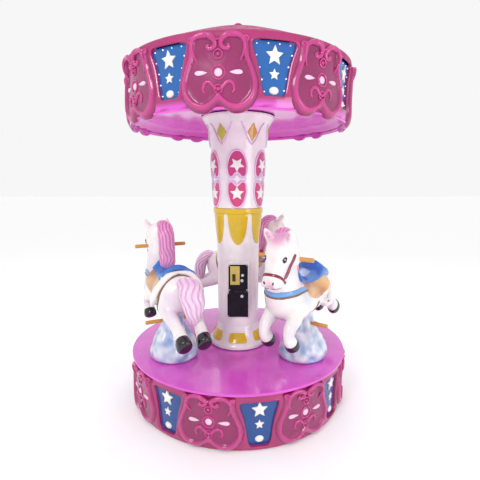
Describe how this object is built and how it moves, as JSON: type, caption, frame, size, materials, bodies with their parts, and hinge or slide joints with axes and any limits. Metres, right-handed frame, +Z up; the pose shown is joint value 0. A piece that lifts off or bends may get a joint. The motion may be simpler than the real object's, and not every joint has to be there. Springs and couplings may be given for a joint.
{
  "type": "fairground carousel",
  "caption": "Small coin-operated fairground carousel with three white ponies under a pink and blue canopy; the deck turns and the cash door opens.",
  "frame": {"origin": "centre of the footprint, on the floor", "axes": "+Z up along the turning axis, -Y towards the front with the coin panel, +X to the right seen from the front"},
  "size_m": [1.3, 1.3, 2.1703],
  "materials": {
    "pink": "glossy moulded fibreglass",
    "orchid": "glossy moulded fibreglass",
    "blue": "glossy painted fibreglass",
    "white": "glossy gel coat",
    "rose": "glossy gel coat, airbrushed",
    "yellow": "glossy gel coat",
    "saddle_blue": "glossy gel coat",
    "saddle_red": "glossy gel coat",
    "cloud": "mottled gel coat",
    "bar_yellow": "satin sleeve",
    "black": "semi-gloss black paint",
    "steel": "plain satin steel"
  },
  "bodies": {
    "stand": {"base_plate": "steel", "base_skirt": "pink", "base_star_band": "blue", "turntable_bearing": "steel", "centre_post": "steel", "column_shaft": "white", "petal_collar": "yellow", "column_upper": "white", "coin_plate": "black", "coin_return_button": "steel", "cash_bin": "steel", "cash_door_hinge": "steel", "canopy_skirt": "pink", "canopy_star_band": "blue", "canopy_lining": "orchid", "canopy_ceiling": "orchid", "canopy_roof": "pink", "roof_knob": "pink"},
    "turntable": {"deck": "orchid", "pony_1_body": "white", "pony_1_mane": "rose", "pony_1_tail": "rose", "pony_1_saddle": "saddle_blue", "pony_1_handle_bar": "bar_yellow", "pony_1_foot_bar": "bar_yellow", "pony_1_cloud": "cloud", "pony_2_body": "white", "pony_2_mane": "rose", "pony_2_tail": "rose", "pony_2_saddle": "saddle_blue", "pony_2_handle_bar": "bar_yellow", "pony_2_foot_bar": "bar_yellow", "pony_2_cloud": "cloud", "pony_3_body": "white", "pony_3_mane": "rose", "pony_3_tail": "rose", "pony_3_saddle": "saddle_red", "pony_3_handle_bar": "bar_yellow", "pony_3_foot_bar": "bar_yellow", "pony_3_cloud": "cloud"},
    "cash_door": {"cash_door": "black", "cash_door_lock": "steel"}
  },
  "joints": [
    {"name": "turntable_spin", "type": "hinge", "parent": "stand", "child": "turntable", "pos_m": [0, 0, 0.3055], "axis": [0, 0, -1], "continuous": true},
    {"name": "cash_door_hinge", "type": "hinge", "parent": "stand", "child": "cash_door", "pos_m": [-0.059, -0.1345, 0.575], "axis": [0, 0, -1], "range_deg": [0, 100]}
  ]
}
